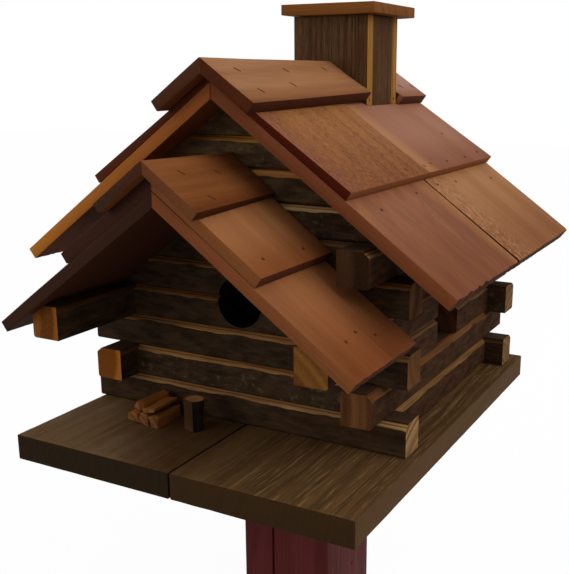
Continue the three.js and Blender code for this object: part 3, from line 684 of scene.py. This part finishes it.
# "colours" are those of the rake at the ridge and at the eave, of the eave, and of the underside. "askew" is
# how much narrower a board is at its rear end, and "clipped" cuts a lower corner off, in front or behind.
# "reshape" gets a place and its shares of the way down the slope, back and up through the board.
def lay_board(node, material, seed, colours, grain_down=True, torn=0.0, reshape=None, askew=0.0, clipped=None):
    side = "right" if "_right" in node else "left"
    down, up, back = DOWN[side], UP[side], Vector((0, 1, 0))
    rake, eave, under = colours
    shape = merged_copy(node)
    low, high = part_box(node)
    far = max(v.co.dot(down) for v in shape.verts)
    if askew:
        slant = (back * (high.y - low.y) - down * askew).cross(up)
        corner = down * far + back * low.y
        cut(shape, corner, slant if slant.dot(down) > 0 else -slant, clear=True)
    if clipped:
        end, size = clipped
        corner = down * far + back * (high.y if end > 0 else low.y)
        square = (down + back * end).normalized()
        cut(shape, corner - square * size, square, clear=True)
    ease_edges(shape, BOARD_EDGE)
    slice_up(shape, back, TORN_STEP if torn else 6 * MM)
    slice_up(shape, down, 7 * MM)
    reach = [[min(v.co.dot(axis) for v in shape.verts), max(v.co.dot(axis) for v in shape.verts)]
             for axis in (down, back, up)]
    near, far = reach[0]
    if torn:
        for depth in TORN_CUTS:
            cut(shape, down * (far - depth), down)
    shift = Vector((seed, seed * 2.3, seed * 0.7))
    spread = shape.verts.layers.float_vector.new("spread")
    for v in shape.verts:
        ways = zip((down, back, up), reach)
        v[spread] = [(v.co.dot(axis) - least) / (most - least) for axis, (least, most) in ways]

    def weathered(v):
        place = v.co.copy()
        shares = v[spread]
        if reshape:
            place = reshape(place, *shares)
        place += up * noise.noise(v.co / WARP_LENGTH + shift) * BOARD_WARP
        edge = far - v.co.dot(down)
        if torn and edge < TORN_BACK:
            bite = noise.noise(Vector((v.co.y / (4.5 * MM), shares[2] * 2, 0)) + shift)
            bite += 0.7 * noise.noise(Vector((v.co.y / (2.1 * MM), shares[2] * 3, 3)) + shift)
            place -= down * max(0, bite + 0.1) * torn * (1 - edge / TORN_BACK)
        return place

    # Front and back ends are sawn. Where they meet in a seam they are painted dark, as painted shade in the gap.
    def board_edges(face):
        if abs(face.normal.y) > 0.75:
            if (face.normal.y > 0) != node.endswith("_back"):
                return "#401e0e"
            way = (face.calc_center_median().dot(down) - near) / (far - near)
            return [a + (b - a) * way for a, b in zip(linear(rake[0]), linear(rake[1]))]
        if face.normal.dot(down) > 0.75:
            return eave
        return under if face.normal.dot(up) < -0.75 else None

    grain, across = (down, back) if grain_down else (back, down)
    piece_of_wood(shape, node + "_board", material, [node], grain, across,
                  (seed, 0.02 + 0.01 * (seed % 3), 0.05), weathered, board_edges, sawn_look=board_edge)


# The seam between the front and back boards opens by 1.4 mm at the ridge and by 3.6 mm at the eave
def front_seam(place, along, backward, upward):
    if backward > 0.98:
        place.y -= (0.8 + 1.2 * along ** 2) * MM
    return place


def back_seam(place, along, backward, upward):
    if backward < 0.02:
        place.y += (0.6 + 1.0 * along ** 2) * MM
    return place


# The front cap lifts at its rear lower corner
def lifted_cap(side):
    def moved(place, along, backward, upward):
        return place + UP[side] * 2.6 * MM * along ** 3 * backward ** 1.5
    return moved


# Undersides of the boards are dark brown, as painted shade under the roof
UNDERSIDE_PAINTED_SHADE = "#74431f"
BASE_EAVE = "#44200d"
MIDDLE_EAVE = "#8c5636"
# Sawn front edges of each course, at the ridge and at the eave. Their differences between the slopes and from
# ridge to eave are partly painted light and shade, as in the lit orange of the left base.
RAKE = {"left": {"base": ("#94542a", "#b8742c"), "middle": ("#4c2414", "#5a2c1a"), "cap": ("#54331f", "#4e2e1c")},
        "right": {"base": ("#7a4429", "#7c4628"), "middle": ("#4a1708", "#4a1708"), "cap": ("#4e2614", "#542812")}}
for side in ("left", "right"):
    rakes = RAKE[side]
    lay_board(f"roof_base_{side}_front", cedar_pink, 2.3, (rakes["base"], BASE_EAVE, UNDERSIDE_PAINTED_SHADE), torn=1.5 * MM,
              reshape=front_seam)
    lay_board(f"roof_base_{side}_back", cedar_curly, 5.9, (rakes["base"], BASE_EAVE, UNDERSIDE_PAINTED_SHADE), torn=0.6 * MM,
              reshape=back_seam, clipped=(1, 1.5 * MM))
    lay_board(f"roof_middle_{side}_front", cedar_speckled, 7.7, (rakes["middle"], MIDDLE_EAVE, UNDERSIDE_PAINTED_SHADE))
    lay_board(f"roof_middle_{side}_back", cedar_rear, 9.2, (rakes["middle"], MIDDLE_EAVE, UNDERSIDE_PAINTED_SHADE))
    lay_board(f"roof_cap_{side}_front", cedar_cap, 4.4, (rakes["cap"], "#4a2414", UNDERSIDE_PAINTED_SHADE), grain_down=False,
              reshape=lifted_cap(side), askew=4.6 * MM if side == "right" else 1 * MM)
    lay_board(f"roof_cap_{side}_back", cedar_rear_cap, 6.1, (rakes["cap"], "#5a2e1a", UNDERSIDE_PAINTED_SHADE), grain_down=False,
              clipped=(-1, 3 * MM))


# ----------------------------------------
# Porch roof: the same cedar boards in three courses, one to a slope, on the purlins. Its cap thins
# out towards the wall.
def thin_behind(side):
    def moved(place, along, backward, upward):
        return place - UP[side] * 3 * MM * upward * backward
    return moved


# The same bare cedar, more orange, since the main roof keeps the rain off it. The ridge cap is browner, and
# painted shade darkens its back part towards the wall.
cedar_porch = cedar("western_cedar_porch_board", "#9a643c", "#7f4f2e", 15, 2.4, (0.35, 0.3), ("#a06a42", 0.4), 0.2)
cedar_porch_base = cedar("western_cedar_porch_eave", "#975f39", "#7a4b2a", 12, 2.4, (0.4, 0.35),
                         ("#9c653d", 0.4), 0.2)
cedar_porch_cap = cedar("western_cedar_porch_cap", "#7f4b25", "#603618", 8, 2.4, (0.3, 0.35),
                        ("#8a5630", 0.4), 0.2, band=("#4e2411", 0.4, 0.45, 1))

# Sawn front edges of the porch courses: the dark left ones and the lighter right ones differ partly by painted
# light and shade
PORCH_RAKE = {
    "left": {"base": ("#382318", "#3a2419"), "middle": ("#3b2219", "#3b2219"), "cap": ("#4c2b19", "#402a20")},
    "right": {"base": ("#84492a", "#84502c"), "middle": ("#84502c", "#84502c"), "cap": ("#6c3e24", "#744528")},
}
for side in ("left", "right"):
    rakes = PORCH_RAKE[side]
    # The underside of the porch base boards, the porch ceiling, is painted darker still, as painted shade
    lay_board(f"porch_base_{side}", cedar_porch_base, 3.6, (rakes["base"], "#4a250f", "#432417"), torn=0.8 * MM)
    lay_board(f"porch_middle_{side}", cedar_porch, 8.1, (rakes["middle"], "#5a3420", UNDERSIDE_PAINTED_SHADE))
    lay_board(f"porch_cap_{side}", cedar_porch_cap, 1.9, (rakes["cap"], "#4a2614", UNDERSIDE_PAINTED_SHADE), grain_down=False,
              reshape=thin_behind(side), askew=5 * MM if side == "right" else 1 * MM)

# ----------------------------------------
# Chimney: four upright weathered boards, nailed into a box, with a thicker flat cap. The sawn edges
# of the front and back boards are fresh and pale.

# Fence board gone grey brown: the soft wood is washed out, which gives short black lines between
# ridges, dull all over. Its red stains are 17 mm across (60 in a metre).
chimney_board, tree, parts = wood_pattern("weathered_upright_board", 2.6, 1.1, 0.35, 0.6, wander_mm=5,
                                           fibre_length=12)
stains = patches(tree, parts["drawn_out"], 60, 0.45, 0.65, 0.6)
colour = coats(tree, "#664a2e", (parts["weight"], "#291b11"), (stains, "#4a2a1a"))
wood_surface(tree, parts, colour, 0.75, 0.9, 0.5, 0.04)
# Cedar that the sun has browned: the same satin as the roof, a little duller and more golden
cap_board = plain_wood("chimney_cap_cedar", "#845122", "#5f3717", 7, 1.8, (0.4, 0.45), ("#73441e", 0.4), 0.3)


def board_strips(face):
    return "#bd873f" if abs(face.normal.x) > 0.8 else None


for index, node in enumerate(("chimney_front", "chimney_back", "chimney_left", "chimney_right")):
    shape = merged_copy(node)
    ease_edges(shape, 0.4 * MM)
    slice_up(shape, (0, 0, 1), 8 * MM)
    strips = board_strips if node in ("chimney_front", "chimney_back") else None
    piece_of_wood(shape, node + "_board", chimney_board, [node], (0, 0, 1), (1, 0, 0),
                  (2.2 * index + 1, 0.03 * index + 0.02, 0.05), sawn=strips)

CUP_DEPTH = 0.8 * MM
shape = merged_copy("chimney_cap")
ease_edges(shape, 0.6 * MM)
slice_up(shape, (1, 0, 0), 6 * MM)
slice_up(shape, (0, 1, 0), 6 * MM)
cap_low, cap_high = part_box("chimney_cap")


# The cap is hollow below towards its left and right ends
def cupped(v):
    place = v.co.copy()
    if v.co.z < (cap_low.z + cap_high.z) / 2:
        place.z += CUP_DEPTH * abs(2 * (v.co.x - cap_low.x) / (cap_high.x - cap_low.x) - 1) ** 3
    return place


piece_of_wood(shape, "chimney_cap_board", cap_board, ["chimney_cap"], (1, 0, 0), (0, 1, 0),
              (5.5, 0.03, 0.04), cupped)

# ----------------------------------------
# Fasteners: small wire nails in the roof boards and chimney, and staples across the ridge caps. They
# are rusty, and stand a little proud of the wood.

# Steel wire that has rusted through its shine: it gives a dull red brown, with specks of 0.5 mm (2000 in
# a metre)
rust, tree = new_material("rusty_steel_wire")
specks = patches(tree, add(tree, "TexCoord").outputs["Object"], 2000, 0.4, 0.6)
colour = coats(tree, "#44210f", (specks, "#5e331a"))
add(tree, "OutputMaterial", Surface=add(tree, "BsdfPrincipled", Base_Color=colour, Roughness=0.85, Metallic=0,
                                        Specular_IOR_Level=0.05))

NAIL_RADIUS = 1.3 * MM
POST_NAIL_RADIUS = 1.6 * MM
HEAD_HEIGHT = 0.4 * MM
STAPLE_LENGTH = 6.8 * MM
STAPLE_WIDTH = 1.5 * MM
UPWARD = Vector((0, 0, 1))


# A flat rounded head: a ball pressed nearly square, with "size" its three half widths
def fastener(shape, point, normal, size, turn):
    start = len(shape.verts)
    bmesh.ops.create_icosphere(shape, subdivisions=2, radius=1)
    shape.verts.ensure_lookup_table()
    long_way = turn - normal * turn.dot(normal)
    long_way.normalize()
    side_way = normal.cross(long_way)
    for v in shape.verts[start:]:
        x, y, z = v.co
        box = max(abs(x), abs(y), abs(z))
        x, y = x / box ** 0.6, y / box ** 0.6
        v.co = point + long_way * x * size[0] + side_way * y * size[1] + normal * z * size[2]


def surface_at(board, x, y):
    mesh = bpy.data.objects[board].data
    faces = BVHTree.FromPolygons([v.co for v in mesh.vertices], [p.vertices for p in mesh.polygons])
    point, normal, _, _ = faces.ray_cast(Vector((x, y, 1)), -UPWARD)
    return point, normal


# Places are (right of the ridge, behind the front wall) in mm, and each is mirrored on the left slope
NAILS = {
    "roof_middle_right_back_board": [(79, 244), (106.4, 270), (108.5, 228), (108.1, 180)],
    "roof_base_right_front_board": [(123.1, 4.7), (118.8, 82.2)],
    "roof_base_right_back_board": [(117, 134.1), (119.1, 174.1), (125.7, 257)],
    "porch_middle_right_board": [(75.2, -80.8), (77.3, -29.4)],
    "porch_base_right_board": [(129.7, -51.3), (132.1, -69.9), (137.2, -34.6)],
}
SLOTS = {"roof_middle_right_back_board": [(106.9, 142.6), (107.8, 125.7)],
         "roof_middle_right_front_board": [(107.5, 86.5)]}
STAPLES = {
    "roof_cap_right_front_board": [(12.4, -11), (12.7, 60.1), (10.9, 129.2), (28.5, 43.4), (33.7, -12.7)],
    "roof_cap_right_back_board": [(12.4, 262), (30, 254), (31, 282)],
    "porch_cap_right_board": [(12.4, -83.5), (15.3, -43.4), (34.6, -80)],
}
KINDS = ((NAILS, (NAIL_RADIUS, NAIL_RADIUS, 0.45 * MM)), (SLOTS, (2 * MM, 0.7 * MM, 0.3 * MM)),
         (STAPLES, (STAPLE_LENGTH / 2, STAPLE_WIDTH / 2, HEAD_HEIGHT)))
shape = bmesh.new()
for table, size in KINDS:
    for board, places in table.items():
        for mirror, name in ((1, board), (-1, board.replace("right", "left"))):
            for x, y in places:
                point, normal = surface_at(name, RIDGE_X + mirror * x * MM, WALL_FRONT + y * MM)
                turn = DOWN["right" if mirror > 0 else "left"] + Vector((0, 0.7 + 0.1 * sin(y), 0))
                fastener(shape, point, normal, size, turn)
# One nail through each side of the chimney's front and back boards, 5 mm above their feet
chimney_low, chimney_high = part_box("chimney_front")
rear_low, rear_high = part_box("chimney_back")
for side, x in ((-1, chimney_low.x), (1, chimney_high.x)):
    for y in ((chimney_low.y + chimney_high.y) / 2, (rear_low.y + rear_high.y) / 2):
        fastener(shape, Vector((x, y, chimney_low.z + 5 * MM)), Vector((side, 0, 0)),
                 (NAIL_RADIUS, NAIL_RADIUS * 0.8, HEAD_HEIGHT), UPWARD)
# And the one in the post
fastener(shape, Vector((post_high.x, 8.3 * MM, 40.4 * MM)), Vector((1, 0, 0)),
         (POST_NAIL_RADIUS, POST_NAIL_RADIUS, HEAD_HEIGHT), UPWARD)
for face in shape.faces:
    face.smooth = True
nails = finished(shape, "nails_and_staples", rust)
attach(nails, "root")

# ----------------------------------------
# Firewood: five short sticks split with an axe, stacked three and two and glued down beside the door.
# No two are alike: each has four uneven sides that swell and thin along it.

# Fresh split pine: long torn fibres give a warm orange yellow, with dark lines and a raw, dull surface
split_pine = plain_wood("fresh_split_pine", "#a4642c", "#74431b", 3, 1.2, (0.45, 0.5), ("#985c28", 0.4), 0.5)
STICK_RADIUS = 6.7 * MM
STICK_LENGTH = 33 * MM
STICK_SIDES = 4
STICK_STEPS = 12
# Middle of each stick and its turn, in mm beside the ridge and before the wall, and degrees
STICKS = ((-78.6, -24, 4.9, 0, 8), (-68.2, -23.5, 4.8, 1, -6), (-57.6, -24.5, 4.9, 2, 96),
          (-73.4, -22, 13.9, -2, 172), (-62, -24.5, 13.7, 1, 276))
floor_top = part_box("floor_left")[1].z


def stick_ends(face):
    return "#8e6036" if abs(face.normal.y) > 0.9 else None


for index, (x, y, z, turn, roll) in enumerate(STICKS):
    shape = bmesh.new()
    bmesh.ops.create_cone(shape, cap_ends=True, segments=STICK_SIDES, radius1=STICK_RADIUS, radius2=STICK_RADIUS,
                          depth=STICK_LENGTH)
    slice_up(shape, (0, 0, 1), STICK_LENGTH / STICK_STEPS)
    for v in shape.verts:
        step = round((v.co.z / STICK_LENGTH + 0.5) * STICK_STEPS)
        corner = round(atan2(v.co.x, v.co.y) / (2 * pi) * STICK_SIDES) % STICK_SIDES
        skewed = noise.noise(Vector((corner * 3.1, index * 5.3, 0.5))) * 0.75
        angle = (corner + 0.5 + skewed) / STICK_SIDES * 2 * pi + radians(roll)
        split = noise.noise(Vector((step * 0.23, corner * 3.1, index * 7.7))) * 0.24 - 0.05
        radius = STICK_RADIUS * (1 + split)
        v.co = (cos(angle) * radius, (step / STICK_STEPS - 0.5) * STICK_LENGTH, sin(angle) * radius)
    bmesh.ops.recalc_face_normals(shape, faces=shape.faces)
    ease_edges(shape, 0.5 * MM, sharper_than=20)
    bmesh.ops.rotate(shape, verts=shape.verts, cent=(0, 0, 0), matrix=Matrix.Rotation(radians(turn), 3, "Z"))
    bmesh.ops.translate(shape, verts=shape.verts, vec=(RIDGE_X + x * MM, WALL_FRONT + y * MM, floor_top + z * MM))
    piece_of_wood(shape, f"firewood_stick_{index + 1}", split_pine, ["firewood"], (0, 1, 0),
                  (1, 0, 0), (index * 1.3, 0.004 * index, -0.004), sawn=stick_ends)

# ----------------------------------------
# Chopping block: a short length of branch with its bark on, sawn square and glued down on its end. The
# side towards the front was split off flat.

# Bark: rough and furrowed, nearly black, so it gives only broken dark brown ridges and no gloss
bark = plain_wood("branch_bark", "#2b1f15", "#110c07", 5, 2.4, (0.5, 0.5), ("#382719", 0.4), 0.8,
                  fibre_length=5)
block_low, block_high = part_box("chopping_block")
block_middle = (block_low + block_high) / 2
block_radius = (block_high.x - block_low.x) / 2
SPLIT_SIDE = Vector((-0.29, -0.957, 0))
SPLIT_DEPTH = block_radius * 0.72
WAIST = 1.4 * MM
WAIST_BELOW_TOP = 5 * MM

shape = bmesh.new()
bmesh.ops.create_cone(shape, cap_ends=True, segments=40, radius1=block_radius, radius2=block_radius,
                      depth=block_high.z - block_low.z)
bmesh.ops.translate(shape, verts=shape.verts, vec=block_middle)
slice_up(shape, UPWARD, 2.2 * MM)
tops = [face for face in shape.faces if abs(face.normal.z) > 0.9]
bmesh.ops.inset_individual(shape, faces=tops, thickness=1.1 * MM, depth=-0.3 * MM)


# Furrows run up the bark, about 8 mm long, under a rim that stands out
def furrowed(v):
    out = Vector((v.co.x - block_middle.x, v.co.y - block_middle.y, 0))
    past = out.dot(SPLIT_SIDE) - SPLIT_DEPTH
    if past > 0:
        return v.co - SPLIT_SIDE * past
    if out.length < block_radius * 0.9:
        return v.co.copy()
    angle = atan2(out.y, out.x)
    furrow = noise.noise(Vector((cos(angle) * 3, sin(angle) * 3, v.co.z * 45)))
    furrow += 0.5 * noise.noise(Vector((cos(angle) * 9, sin(angle) * 9, v.co.z * 130)))
    waist = WAIST * min(1, max(0, (block_high.z - WAIST_BELOW_TOP - v.co.z) / WAIST_BELOW_TOP))
    return v.co + out.normalized() * ((furrow - 0.4) * 0.8 * MM - waist)


# Sawn ends: the bottom end, which sits on the floor, is painted near black as painted shade. The split side is
# paler.
def block_ends(face):
    if abs(face.normal.z) > 0.9:
        return "#b08050" if face.normal.z > 0 else "#241a12"
    middle = face.calc_center_median() - block_middle
    return "#5c4029" if Vector((middle.x, middle.y, 0)).dot(SPLIT_SIDE) > SPLIT_DEPTH else None


piece_of_wood(shape, "chopping_block_branch", bark, ["chopping_block"], (0, 0, 1), (1, 0, 0),
              (1.7, -block_radius, -block_radius), furrowed, block_ends)
